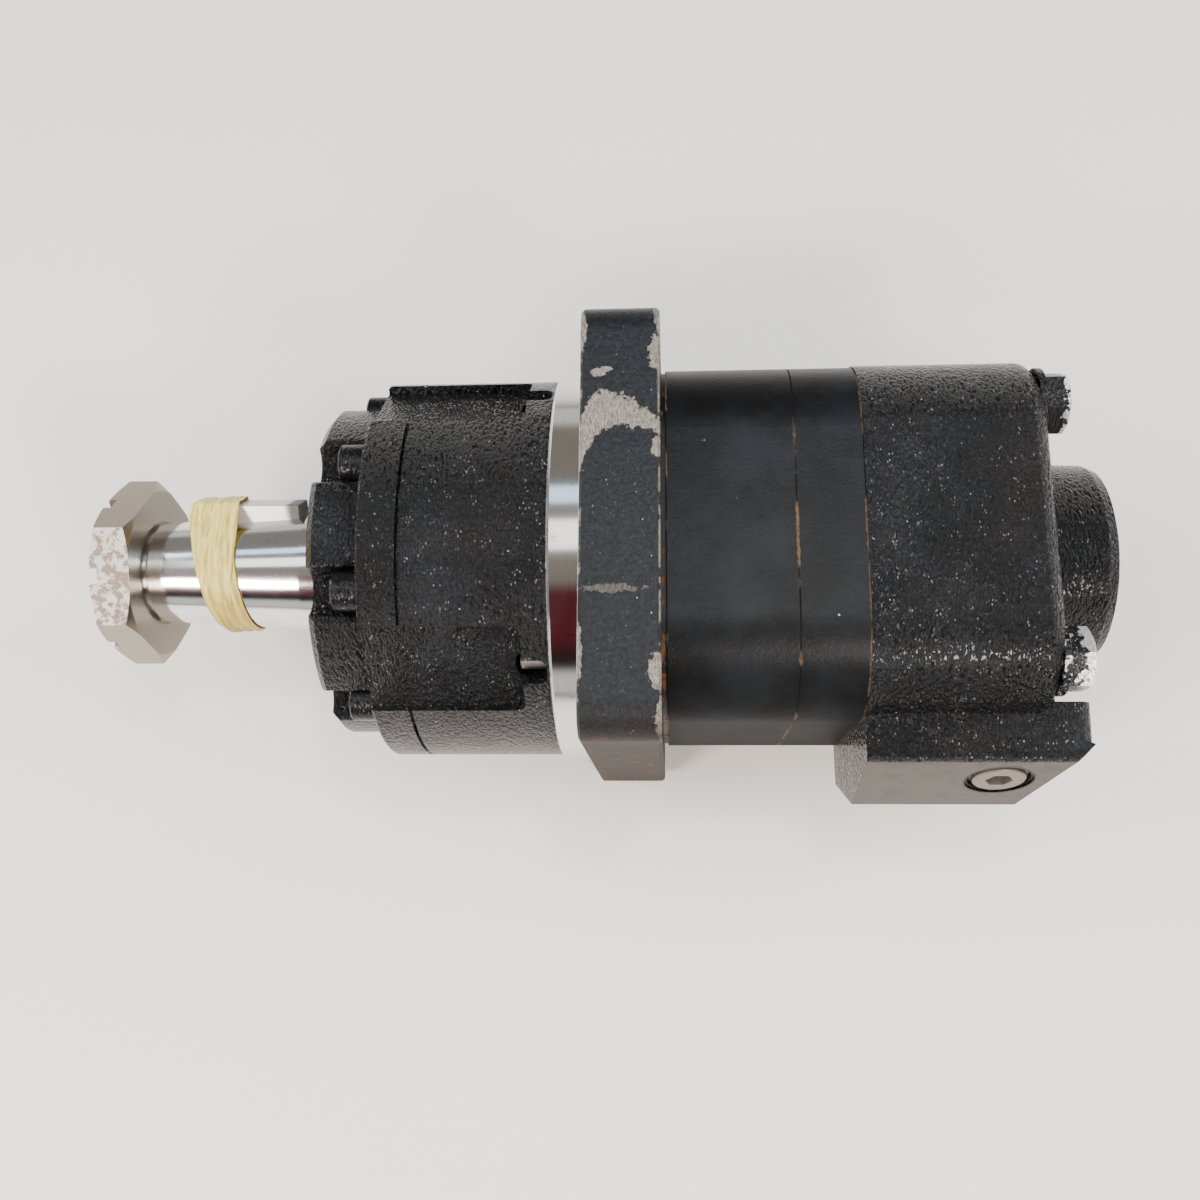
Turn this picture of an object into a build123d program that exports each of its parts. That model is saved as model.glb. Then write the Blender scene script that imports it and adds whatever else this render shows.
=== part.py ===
from build123d import *
import math
import os

# Flange-mounted orbital hydraulic motor.  Millimetres.  X runs along the motor from the
# shaft end (-X) to the rear, the origin is on the shaft axis at the front face of the
# mounting flange, Z is up.  Angles round the motor are measured from +Z towards +Y.

# ---- driving sizes -------------------------------------------------------------------
PILOT_D = 139.7          # mounting pilot
PILOT_LEN = 10.5
FLANGE_W = 145.0         # square mounting flange across flats
FLANGE_T = 25.8
FLANGE_CORNER = 12.0
MOUNT_PCD = 165.1        # mounting hole circle
MOUNT_HOLE_D = 13.8
HOUSING_R = 68.6         # round front bearing housing
HOUSING_LEN = 59.0       # from the flange face to the retainer
RETAINER_T = 13.0        # retainer base plate
NOSE_LEN = 18.9          # lobed nose in front of the base plate
NOSE_R = 60.3
BODY_W = 123.6           # rounded-square rear body across flats
BODY_CORNER = 32.0
WEAR_T = 1.6             # wear plate
RING_T = 41.8            # geroler ring
PLATE_T = 22.0           # valve plate
VALVE_LEN = 60.0         # valve housing
BOSS_R = 35.6
BOSS_LEN = 29.0
BOLT_R = 62.2            # rear bolts from the axis
BOLT_D = 12.7
BOLT_HEAD_AF = 19.05
WASHER_T = 2.4
ROLLER_PCR = 39.0        # geroler roller centres from the axis
ROLLER_R = 9.0
LOBES = 6                # lobes of the rotor, one fewer than the rollers
ECCENTRIC = 3.2          # orbit radius of the rotor
SHAFT_D = 44.45          # large end of the 1:8 taper
TAPER = 8.0              # diameter falls 1 in 8
KEY_W = 11.1
KEY_LEN = 39.5
NUT_AF = 60.3
NUT_T = 15.0
PORT_TILT = 15.5         # each port facet from the block's middle plane
PORT_FACE = 83.3         # port facet from the axis
PORT_HOLE_R = 10.3
PORT_X = 136.6
RUN = 0.03               # running clearance per side
FACE = 0.03              # end clearance of the sliding faces

# ---- positions along the axis --------------------------------------------------------
X_SEAM = -HOUSING_LEN
X_PLATE = X_SEAM - RETAINER_T
X_NOSE = X_PLATE - NOSE_LEN
X_WEAR = FLANGE_T
X_RING = X_WEAR + WEAR_T
X_VPLATE = X_RING + RING_T
X_VALVE = X_VPLATE + PLATE_T
X_REAR = X_VALVE + VALVE_LEN
X_END = X_REAR + BOSS_LEN
X_TAPER = -105.0         # large end of the taper
X_NUT = -163.5           # inner face of the nut
X_NUT_OUT = X_NUT - NUT_T

os.makedirs("parts", exist_ok=True)


# ---- helpers -------------------------------------------------------------------------
def save(shape, name):
    export_step(shape, f"parts/{name}.step")


def turned(*points):
    """Solid of revolution round the motor axis from (x, radius) points."""
    return revolve(make_face(Polyline(*points, close=True)), Axis.X, 360)


def bar(x0, x1, r, y=0.0, z=0.0):
    return Pos(x0, y, z) * extrude(Plane.YZ * Circle(r), x1 - x0)


def ring(x0, x1, r_in, r_out):
    return bar(x0, x1, r_out) - bar(x0 - 1, x1 + 1, r_in)


def prism(sketch, x0, x1):
    """Section drawn in Y and Z, pushed from x0 to x1."""
    return Pos(x0, 0, 0) * extrude(Plane.YZ * sketch, x1 - x0)


def at(r, angle):
    a = math.radians(angle)
    return r * math.sin(a), r * math.cos(a)


def square(width, corner):
    return RectangleRounded(width, width, corner)


def group(shapes):
    return Compound(children=[s for s in shapes])


def seal_ring(x, r, wire):
    """O-ring of round section, lying round the axis."""
    return revolve(Pos(x, r) * Circle(wire), Axis.X, 360)


def around(shape, count, first=0.0):
    return [Rot(-(first + i * 360 / count), 0, 0) * shape for i in range(count)]


def star(r_root, r_tip, count, grow=0.0):
    """Spline section with sloping flanks, grown outwards by a clearance."""
    wide = grow / r_root * count / (2 * math.pi)
    points = []
    for i in range(count):
        for share, r in ((-0.30 - wide, r_root), (-0.16 - wide, r_tip),
                         (0.16 + wide, r_tip), (0.30 + wide, r_root)):
            points.append(at(r + grow, (i + share) * 360 / count))
    return make_face(Polyline(*points, close=True))


# ---- bearing housing: casting with the mounting flange and the pilot -----------------
FRONT_CUP_R = 45.0
REAR_CUP_R = 42.5
X_CUP_F = (-53.0, -33.0)
X_CUP_R = (-12.0, 8.0)
RECESS_R = 63.6
SCREW_R = 57.5
SCREW_HEAD_R = 6.9
SCREW_D = 9.5
CORNERS = (45, 135, 225, 315)
PIN_R = 61.0             # small pins in the pockets beside the pilot
PIN_X = (-20.5, -4.0)


def sector_cut(x0, x1, r_in, angle, width):
    """Pocket in the outside of a round casting, facing the given angle."""
    block = Pos((x0 + x1) / 2, 0, r_in + 10) * Box(x1 - x0, width, 20)
    block = fillet(block.edges().filter_by(Axis.Z), 3.0)
    return Rot(-angle, 0, 0) * block


def bearing_housing():
    body = bar(X_SEAM, 2, HOUSING_R) + bar(-PILOT_LEN, 1, PILOT_D / 2)
    body = chamfer(body.edges().group_by(Axis.X)[0], 1.2)
    rim = body.edges().filter_by(lambda e: abs(e.radius - PILOT_D / 2) < 0.01
                                 if e.geom_type == GeomType.CIRCLE else False)
    body = chamfer(rim.group_by(Axis.X)[0], 1.0)
    flange = prism(square(FLANGE_W, FLANGE_CORNER), 0, FLANGE_T)
    flange = chamfer(flange.edges().group_by(Axis.X)[0], 1.0)
    flange = chamfer(flange.edges().group_by(Axis.X)[-1], 1.0)
    body += flange
    for angle in CORNERS:
        body -= sector_cut(X_SEAM - 5, -PILOT_LEN - 9.0, RECESS_R, angle, 33.0)
        body -= sector_cut(PIN_X[0] - 1.5, -PILOT_LEN - 0.8, PIN_R - 3.05, angle, 9.0)
        y, z = at(PIN_R, angle)
        body -= bar(-PILOT_LEN - 2, PIN_X[1], 3.02, y, z)
        y, z = at(MOUNT_PCD / 2, angle)
        body -= bar(-1, FLANGE_T + 1, MOUNT_HOLE_D / 2, y, z)
        y, z = at(BOLT_R, angle)
        body -= bar(4, FLANGE_T + 1, BOLT_D / 2 + 0.02, y, z)
    body -= bar(X_SEAM - 1, X_CUP_F[1], FRONT_CUP_R + 0.01)
    body -= bar(X_CUP_F[1] - 1, X_CUP_R[0], 41.0)
    body -= bar(X_CUP_R[0] - 1, X_CUP_R[1], REAR_CUP_R + 0.01)
    body -= bar(X_CUP_R[1] - 1, 12.5, 33.0)
    body -= bar(10, FLANGE_T + 1, 24.0)
    for i in range(8):
        y, z = at(SCREW_R, 22.5 + i * 45)
        body -= bar(X_SEAM - 1, X_SEAM + 22, SCREW_D / 2 + 0.02, y, z)
    body -= ring(FLANGE_T - 1.9, FLANGE_T + 1, 50.4, 53.6)
    return body


def pocket_pins():
    y, z = at(PIN_R, CORNERS[0])
    pin = chamfer(bar(PIN_X[0], PIN_X[1], 3.0, y, z).edges(), 0.5)
    return group(around(pin, 4))


# ---- front retainer: base plate with the eight-lobed nose ----------------------------
def front_retainer():
    plate = bar(X_PLATE, X_SEAM, HOUSING_R)
    plate = chamfer(plate.edges().group_by(Axis.X)[0], 1.0)
    nose = prism(Circle(NOSE_R), X_NOSE, X_PLATE + 1)
    nose = chamfer(nose.edges().group_by(Axis.X)[0], 2.5)
    for i in range(8):
        y, z = at(SCREW_R + 0.7, 22.5 + i * 45)
        nose -= bar(X_NOSE - 2, X_PLATE, SCREW_HEAD_R + 1.2, y, z)
    nose = fillet(nose.edges().filter_by(Axis.X), 2.0)
    body = plate + nose
    body += bar(X_SEAM - 1, X_CUP_F[0] - 0.05, FRONT_CUP_R - 0.03)
    for angle in CORNERS:
        body -= sector_cut(X_PLATE - 5, X_SEAM + 5, RECESS_R, angle, 33.0)
    for i in range(8):
        y, z = at(SCREW_R, 22.5 + i * 45)
        body -= bar(X_PLATE - 2, X_SEAM + 1, SCREW_D / 2 + 0.25, y, z)
    body -= bar(X_NOSE - 1, X_SEAM + 10, 24.6)
    body -= bar(X_NOSE - 1, X_NOSE + 4.5, 31.5)
    body -= bar(X_NOSE + 8, X_NOSE + 21, 33.0)
    body -= bar(X_SEAM - 6, X_SEAM + 10, 33.5)
    body -= ring(X_SEAM + 1.2, X_SEAM + 4.2, 42.9, 46.0)
    return body


def retainer_screws():
    y, z = at(SCREW_R, 22.5)
    head = bar(X_PLATE - 9.5, X_PLATE - 0.02, SCREW_HEAD_R, y, z)
    head = chamfer(head.edges().group_by(Axis.X)[0], 0.6)
    shank = bar(X_PLATE - 1, X_SEAM + 20, SCREW_D / 2, y, z)
    socket = Pos(X_PLATE - 10, y, z) * extrude(
        Plane.YZ * RegularPolygon(3.97, 6, major_radius=False), 5.2)
    return group(around(head + shank - socket, 8))


# ---- shaft: taper with keyway and thread, seal land, bearing seats, inner spline ----
SEAL_LAND_R = 23.8
SEAT_R = 25.0
MIDDLE_R = 30.0
X_SHAFT_END = 9.5
LINK_ROOT = 12.4
LINK_TIP = 14.6
LINK_TEETH = 12
SPLINE_GAP = 0.42
X_LINK_SHAFT = -38.0     # middle of the link's teeth in the shaft
X_LINK_ROTOR = 41.0      # middle of the link's teeth in the rotor
KEY_ANGLE = 60.5
NUT_ANGLE = -18.0
KEY_BOTTOM = 15.5
KEY_X = (-147.0, -147.0 + KEY_LEN)
THREAD_R = 15.87


def taper_r(x):
    return SHAFT_D / 2 - (X_TAPER - x) / (2 * TAPER)


def output_shaft():
    shaft = turned((X_NUT_OUT + 1, 0), (X_NUT_OUT + 1, THREAD_R - 1.5),
                   (X_NUT_OUT + 2.5, THREAD_R), (X_NUT + 1.5, THREAD_R),
                   (X_NUT + 1.5, taper_r(X_NUT + 1.5)), (X_TAPER, SHAFT_D / 2),
                   (-93.0, SHAFT_D / 2), (-92.0, SEAL_LAND_R), (X_CUP_F[0], SEAL_LAND_R),
                   (X_CUP_F[0], SEAT_R), (X_CUP_F[1], SEAT_R), (X_CUP_F[1], MIDDLE_R),
                   (X_CUP_R[0], MIDDLE_R), (X_CUP_R[0], SEAT_R), (X_SHAFT_END, SEAT_R),
                   (X_SHAFT_END, 0))
    keyway = Pos((KEY_X[0] + KEY_X[1]) / 2, 0, KEY_BOTTOM + 10) * Box(
        KEY_LEN + 0.1, KEY_W + 0.04, 20)
    shaft -= Rot(-KEY_ANGLE, 0, 0) * keyway
    shaft -= bar(-55, -44, 13.4)
    shaft -= prism(star(LINK_ROOT, LINK_TIP, LINK_TEETH, SPLINE_GAP), -46, -30)
    shaft -= bar(-31, X_SHAFT_END + 1, 18.0)
    return shaft


def shaft_key():
    key = Pos((KEY_X[0] + KEY_X[1]) / 2, 0, KEY_BOTTOM + KEY_W / 2 + 0.02) * Box(
        KEY_LEN, KEY_W, KEY_W)
    key = chamfer(key.edges(), 0.35)
    return Rot(-KEY_ANGLE, 0, 0) * key


def shaft_nut():
    hexagon = RegularPolygon(NUT_AF / 2, 6, major_radius=False)
    nut = prism(hexagon, X_NUT_OUT, X_NUT)
    corner = NUT_AF / math.sqrt(3)
    nut &= turned((X_NUT_OUT, 0), (X_NUT_OUT, NUT_AF / 2 - 0.8),
                  (X_NUT_OUT + 2.6, corner + 0.1), (X_NUT - 1.8, corner + 0.1),
                  (X_NUT, NUT_AF / 2 + 0.9), (X_NUT, 0))
    nut -= bar(X_NUT_OUT - 1, X_NUT + 1, THREAD_R + 0.02)
    nut -= turned((X_NUT + 1, 0), (X_NUT + 1, 20.6), (X_NUT - 1.0, 18.6), (X_NUT - 1.0, 0))
    for i in range(3):
        slot = Pos(X_NUT_OUT + 1.6, 0, 0) * Box(3.4, 5.8, 80)
        nut -= Rot(-i * 60, 0, 0) * slot
    return Rot(-NUT_ANGLE, 0, 0) * nut


# ---- protective tape wound once round the taper and over the key's front end --------
TAPE_X = (-143.0, -122.0)
TAPE_GAP = 0.35
TAPE_T = 0.5


def key_tape():
    r_in = max(taper_r(TAPE_X[1]), taper_r(TAPE_X[0])) + TAPE_GAP
    hoop = Circle(r_in)
    lift = KEY_BOTTOM + KEY_W + 0.02 + TAPE_GAP
    over = Pos(0, lift / 2) * Rectangle(KEY_W + 2 * TAPE_GAP, lift)
    inner = make_hull((hoop + over).edges())
    outer = offset(inner, TAPE_T)
    return Rot(-KEY_ANGLE, 0, 0) * prism(outer - inner, TAPE_X[0], TAPE_X[1])


# ---- tapered roller bearing ----------------------------------------------------------
ROLL_TILT = 12.0
ROLL_R = 4.3
ROLL_L = 13.0


def bearing(x_back, direction, r_bore, r_cup):
    """Cup, cone, rollers and cage; x_back is the cup's back face, direction the way to
    the cone's large end."""
    width = 20.0
    tilt = math.radians(ROLL_TILT)
    r_mid = (r_bore + r_cup) / 2 + 0.6
    apex = r_mid / math.sin(tilt)
    slope = ROLL_R / apex
    half = math.atan(slope)

    def race(s, angle, gap):
        side = ROLL_R / math.cos(tilt)
        sign = 1 if angle > 0 else -1
        base = r_mid + sign * side
        return base + (s - width / 2) * math.tan(tilt + angle) + sign * gap

    def x(s):
        return x_back + direction * s

    gap = 0.03
    cup = turned((x(0), r_cup), (x(width - 3.5), r_cup),
                 (x(width - 3.5), race(width - 3.5, half, gap)), (x(0), race(0, half, gap)))
    cone = turned((x(1.5), r_bore + 0.01), (x(width), r_bore + 0.01),
                  (x(width), race(width, -half, gap) + 2.2),
                  (x(width - 2.2), race(width - 2.2, -half, gap) + 2.2),
                  (x(width - 2.2), race(width - 2.2, -half, gap)),
                  (x(1.5), race(1.5, -half, gap)))
    axis = Vector(direction * math.cos(tilt), math.sin(tilt), 0)
    side = Vector(-direction * math.sin(tilt), math.cos(tilt), 0)
    centre = Vector(x(width / 2 - 0.6), r_mid - 0.6 * math.tan(tilt), 0)
    ends = []
    for along in (-ROLL_L / 2, ROLL_L / 2):
        r = (ROLL_R * (apex + along) / apex) - 0.03
        ends.append((centre + axis * along, r))
    face = make_face(Polyline(ends[0][0], ends[0][0] + side * ends[0][1],
                              ends[1][0] + side * ends[1][1], ends[1][0], close=True))
    roller = revolve(face, Axis(centre, axis), 360)
    grown = make_face(Polyline(ends[0][0] - axis * 0.3,
                               ends[0][0] - axis * 0.3 + side * (ends[0][1] + 0.2),
                               ends[1][0] + axis * 0.3 + side * (ends[1][1] + 0.2),
                               ends[1][0] + axis * 0.3, close=True))
    pocket = revolve(grown, Axis(centre, axis), 360)
    count = int(2 * math.pi * r_mid / (2 * ROLL_R * 1.22))
    low = centre - axis * (ROLL_L / 2 + 1.3)
    high = centre + axis * (ROLL_L / 2 + 0.9)
    cage = revolve(make_face(Polyline(low - side * 0.2, low + side * 1.3,
                                      high + side * 1.3, high - side * 0.2, close=True)),
                   Axis.X, 360)
    for one in around(pocket, count):
        cage -= one
    return cup, cone, group(around(roller, count)), cage


# ---- seals at the front --------------------------------------------------------------
def shaft_seal():
    x = X_NOSE + 9.0
    return turned((x, 33.0 - 0.01), (x + 9.5, 33.0 - 0.01), (x + 9.5, 30.5), (x + 2.0, 30.5),
                  (x + 2.0, 27.5), (x + 8.0, 25.2), (x + 6.5, SEAL_LAND_R + 0.05),
                  (x + 4.5, SEAL_LAND_R + 0.05), (x, 25.8))


def exclusion_seal():
    x = X_NOSE + 0.4
    return turned((x, 31.5 - 0.01), (x + 4.0, 31.5 - 0.01), (x + 4.0, 27.0),
                  (x + 2.6, 25.4), (x + 0.6, SEAL_LAND_R + 0.05),
                  (x, SEAL_LAND_R + 0.05), (x, 26.5))


def backup_washer():
    x = X_NOSE + 18.6
    return ring(x, x + 2.3, 24.1, 32.9)


# ---- geroler: rotor inside a ring of free rollers ------------------------------------
def roller_angle(i):
    return i * 360 / (LOBES + 1)


def rotor_profile(clearance):
    """Closed curve that stays tangent to every roller while the rotor orbits."""
    points = []
    steps = LOBES * 24
    lobe = LOBES + 1
    for i in range(steps):
        t = 2 * math.pi * i / steps
        px = ROLLER_PCR * math.cos(t) - ECCENTRIC * math.cos(lobe * t)
        py = ROLLER_PCR * math.sin(t) - ECCENTRIC * math.sin(lobe * t)
        dx = -ROLLER_PCR * math.sin(t) + lobe * ECCENTRIC * math.sin(lobe * t)
        dy = ROLLER_PCR * math.cos(t) - lobe * ECCENTRIC * math.cos(lobe * t)
        n = math.hypot(dx, dy)
        r = ROLLER_R + clearance
        points.append((py + r * dx / n, px - r * dy / n))
    return make_face(Spline(*points, periodic=True))


def geroler_ring():
    body = prism(square(BODY_W, BODY_CORNER), X_RING, X_VPLATE)
    body -= bar(X_RING - 1, X_VPLATE + 1, 36.9)
    for i in range(LOBES + 1):
        y, z = at(ROLLER_PCR, roller_angle(i))
        body -= bar(X_RING - 1, X_VPLATE + 1, ROLLER_R + 0.02, y, z)
    body -= ring(X_RING - 1, X_RING + 1.9, 50.4, 53.6)
    body -= ring(X_VPLATE - 1.9, X_VPLATE + 1, 50.4, 53.6)
    return drilled(body, X_RING, X_VPLATE)


def drilled(body, x0, x1):
    for angle in CORNERS:
        y, z = at(BOLT_R, angle)
        body -= bar(x0 - 1, x1 + 1, BOLT_D / 2 + 0.3, y, z)
    return body


def roller(i):
    y, z = at(ROLLER_PCR, roller_angle(i))
    body = bar(X_RING + FACE, X_VPLATE - FACE, ROLLER_R, y, z)
    return chamfer(body.edges(), 0.4)


def rotor():
    body = prism(rotor_profile(0.03), X_RING + FACE, X_VPLATE - FACE)
    body -= prism(star(LINK_ROOT, LINK_TIP, LINK_TEETH, SPLINE_GAP),
                  X_RING - 1, X_VPLATE + 1)
    return Pos(0, 0, ECCENTRIC) * body


# ---- drive links, drawn on their own tilted axes -------------------------------------
def tilted(shape, x_on_axis, x_off_axis):
    """Swing a shape drawn round the X axis so it passes through the main axis at one
    place and through the rotor's centre at the other."""
    angle = math.degrees(math.atan2(ECCENTRIC, x_off_axis - x_on_axis))
    return Pos(x_on_axis, 0, 0) * Rot(0, -angle, 0) * Pos(-x_on_axis, 0, 0) * shape


def drive_link():
    x0 = X_LINK_SHAFT
    x1 = X_LINK_SHAFT + math.hypot(X_LINK_ROTOR - X_LINK_SHAFT, ECCENTRIC)
    teeth = star(LINK_ROOT, LINK_TIP, LINK_TEETH)
    body = prism(teeth, x0 - 5, x0 + 5) + prism(teeth, x1 - 5, x1 + 5)
    body += turned((x0 - 7.5, 0), (x0 - 7.5, 9.0), (x0 - 5, 11.6), (x0 + 5, 11.6),
                   (x0 + 9, 11.0), (x1 - 9, 11.0), (x1 - 5, 11.6), (x1 + 5, 11.6),
                   (x1 + 7.0, 9.0), (x1 + 7.0, 0))
    return tilted(body, X_LINK_SHAFT, X_LINK_ROTOR)


X_SPACER = 50.6          # loose disc between the two links, inside the rotor
X_DRIVE_ROTOR = 60.0     # middle of the valve drive's teeth in the rotor
X_DRIVE_VALVE = 100.0    # middle of its teeth in the disc valve


def drive_spacer():
    body = bar(X_SPACER, X_SPACER + 2.4, LINK_ROOT - 0.6)
    return Pos(0, 0, ECCENTRIC) * body


def valve_drive():
    x1 = X_DRIVE_VALVE
    x0 = x1 - math.hypot(X_DRIVE_VALVE - X_DRIVE_ROTOR, ECCENTRIC)
    teeth = star(LINK_ROOT, LINK_TIP, LINK_TEETH)
    body = prism(teeth, x0 - 2.2, x0 + 2.2) + prism(teeth, x1 - 2.2, x1 + 2.2)
    body += turned((x0 - 4.0, 0), (x0 - 4.0, 9.0), (x0 - 2.2, 11.0), (x0 + 2.2, 11.0),
                   (x0 + 6, 9.5), (x1 - 6, 9.5), (x1 - 2.2, 11.0), (x1 + 2.2, 11.0),
                   (x1 + 3.6, 9.0), (x1 + 3.6, 0))
    angle = math.degrees(math.atan2(ECCENTRIC, X_DRIVE_VALVE - X_DRIVE_ROTOR))
    return Pos(x1, 0, 0) * Rot(0, angle, 0) * Pos(-x1, 0, 0) * body


# ---- valve plate, disc valve, balance ring -------------------------------------------
VALVE_R = 37.0
BORE_R = 44.0
X_DISC = X_VALVE + FACE
X_DISC_END = X_VALVE + 13.0
X_HUB_END = X_VALVE + 15.0
X_BAL = X_DISC_END + FACE
X_BAL_END = X_BAL + 8.0
X_CAVITY = X_BAL_END + 5.0


def wear_plate():
    body = prism(square(BODY_W - 1.6, BODY_CORNER - 0.8), X_WEAR, X_RING)
    body -= bar(X_WEAR - 1, X_RING + 1, 21.0)
    return drilled(body, X_WEAR, X_RING)


def valve_plate():
    body = prism(square(BODY_W, BODY_CORNER), X_VPLATE, X_VALVE)
    body -= bar(X_VPLATE - 1, X_VALVE + 1, 17.5)
    for i in range(LOBES + 1):
        slot = Pos(0, 31.5) * SlotOverall(9.0, 5.0, rotation=90)
        cut = prism(slot, X_VPLATE - 1, X_VALVE + 1)
        body -= Rot(-(roller_angle(i) + 180 / (LOBES + 1)), 0, 0) * cut
    return drilled(body, X_VPLATE, X_VALVE)


def disc_valve():
    body = bar(X_DISC, X_DISC_END, VALVE_R) + bar(X_DISC, X_HUB_END, 21.0)
    body -= prism(star(LINK_ROOT, LINK_TIP, LINK_TEETH, SPLINE_GAP),
                  X_DISC - 1, X_HUB_END + 1)
    hole = bar(X_DISC - 1, X_DISC_END + 1, 2.6, 0, 28.0)
    notch = Pos(X_DISC + 2.5, 0, 35.0) * Box(7.0, 5.2, 9.0)
    for one in around(hole, LOBES):
        body -= one
    for one in around(notch, LOBES, 180 / LOBES):
        body -= one
    return body


def balance_ring():
    body = ring(X_BAL, X_BAL_END, 23.0, 36.0)
    body += ring(X_BAL + 3.0, X_BAL_END, 35.0, BORE_R - 0.1)
    for one in around(bar(X_BAL_END - 3.0, X_BAL_END + 1, 1.8, 0, 39.5), 6):
        body -= one
    for one in around(bar(X_BAL_END - 3.0, X_BAL_END + 1, 1.5, 0, 28.0), 3, 30):
        body -= one
    return body


def balance_springs():
    """Six short coil springs, each drawn as a stack of flat coils joined in a sleeve."""
    sleeve = bar(X_BAL_END - 2.95, X_CAVITY - 0.05, 1.7, 0, 39.5)
    sleeve -= bar(X_BAL_END - 4, X_CAVITY + 1, 1.0, 0, 39.5)
    for k in range(5):
        x = X_BAL_END - 2.2 + k * 1.5
        sleeve -= Pos(x, 0, 39.5) * Box(0.6, 1.4, 4.0)
    return group(around(sleeve, 6))


def balance_pins():
    pin = bar(X_BAL_END - 2.95, X_CAVITY + 4.0, 1.45, 0, 28.0)
    return group(around(pin, 3, 30))


# ---- valve housing: casting with the end boss and the two-facet port block -----------
BLOCK_X = (X_VALVE, X_REAR + 12.0)


def block_section():
    """Port block seen along the axis, pointing to -Y."""
    t = math.radians(PORT_TILT)
    apex = PORT_FACE / math.cos(t)
    edge_y = -(PORT_FACE * math.cos(t) - 17.0 * math.sin(t))
    edge_z = PORT_FACE * math.sin(t) + 17.0 * math.cos(t)
    return make_face(Polyline((-apex, 0), (edge_y, edge_z), (edge_y + 3, edge_z + 0.5),
                              (-52, edge_z + 2), (-20, edge_z - 4), (-20, -edge_z + 4),
                              (-52, -edge_z - 2), (edge_y + 3, -edge_z - 0.5),
                              (edge_y, -edge_z), close=True))


def port_place(side):
    """Plane on a port facet; side +1 is the facet turned towards +Z."""
    angle = math.radians(90 - side * PORT_TILT)
    n = Vector(0, -math.sin(angle), math.cos(angle))
    return Plane(origin=Vector(PORT_X, 0, 0) + n * PORT_FACE, x_dir=(1, 0, 0), z_dir=n)


def valve_housing():
    body = prism(square(BODY_W + 0.8, BODY_CORNER), X_VALVE, X_REAR)
    body = fillet(body.edges().group_by(Axis.X)[-1], 6.0)
    block = prism(block_section(), *BLOCK_X)
    behind = Pos(X_REAR + 50, -28, 0) * Box(100, 58, 120)
    block -= behind
    apex = PORT_FACE / math.cos(math.radians(PORT_TILT))
    block -= Pos(X_VALVE + 56, -apex, 0) * Rot(0, 0, -45) * Pos(40, 0, 0) * Box(80, 200, 200)
    block = fillet(block.edges().filter_by(Axis.X).group_by(Axis.Y)[1], 2.5)
    rear = block.edges().group_by(Axis.X)[-1].filter_by(lambda e: e.center().Y < -58)
    block = fillet(rear, 4.5)
    body += block
    boss = turned((X_REAR - 5, 0), (X_REAR - 5, BOSS_R + 1.0), (X_END - 5, BOSS_R),
                  (X_END - 1.5, BOSS_R - 1.5), (X_END, BOSS_R - 5), (X_END, 0))
    body += boss
    body -= bar(X_VALVE - 1, X_CAVITY, BORE_R)
    body -= bar(X_CAVITY - 1, X_CAVITY + 22, 18.0)
    body -= ring(X_VALVE - 1, X_VALVE + 1.9, 50.4, 53.6)
    for one in around(bar(X_CAVITY - 1, X_CAVITY + 4.2, 1.5, 0, 28.0), 3, 30):
        body -= one
    for side in (1, -1):
        place = port_place(side)
        body -= place * Pos(0, 0, -38) * extrude(Circle(8.0), 39)
        body -= place * Pos(0, 0, -16) * extrude(Circle(PORT_HOLE_R), 17)
        body -= place * Pos(0, 0, -0.8) * extrude(Circle(PORT_HOLE_R + 0.9), 2)
        y, z = at(48.5, -90 + side * PORT_TILT)
        body -= bar(X_VALVE + 8, PORT_X, 6.0, y, z)
    for angle in CORNERS:
        y, z = at(BOLT_R, angle)
        body -= bar(X_VALVE - 1, X_REAR + 20, BOLT_D / 2 + 0.3, y, z)
        body -= bar(X_REAR - 0.6, X_REAR + 20, 12.2, y, z)
    return body


def rear_bolts():
    y, z = at(BOLT_R, 45)
    x0 = X_REAR - 0.56 + WASHER_T
    head = Pos(x0, y, z) * extrude(
        Plane.YZ * RegularPolygon(BOLT_HEAD_AF / 2, 6, major_radius=False), 8.1)
    corner = BOLT_HEAD_AF / math.sqrt(3)
    dome = Pos(0, y, z) * turned((x0, 0), (x0, BOLT_HEAD_AF / 2 - 0.2), (x0 + 0.6, corner + 0.1),
                                 (x0 + 6.9, corner + 0.1), (x0 + 8.1, BOLT_HEAD_AF / 2 - 0.3),
                                 (x0 + 8.1, 0))
    bolt = (head & dome) + bar(8.0, x0 + 1, BOLT_D / 2, y, z)
    bolt = chamfer(bolt.edges().group_by(Axis.X)[0], 1.0)
    return group([Rot(-(angle - 45), 0, 0) * bolt for angle in CORNERS])


def bolt_washers():
    x0 = X_REAR - 0.58
    washer = ring(x0, x0 + WASHER_T, BOLT_D / 2 + 0.2, 11.9)
    y, z = at(BOLT_R, CORNERS[0])
    return group(around(chamfer((Pos(0, y, z) * washer).edges(), 0.25), 4))


# ---- port plug and its ring ----------------------------------------------------------
def port_plug():
    place = port_place(1)
    plug = place * Pos(0, 0, -12) * extrude(Circle(PORT_HOLE_R - 0.02), 9.5)
    face = place * Pos(0, 0, -3) * extrude(Circle(8.7), 3.1)
    plug += chamfer(face.edges().filter_by(GeomType.CIRCLE), 0.4)
    plug -= place * Pos(0, 0, -4) * extrude(RegularPolygon(3.97, 6, major_radius=False), 8)
    return plug


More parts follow.
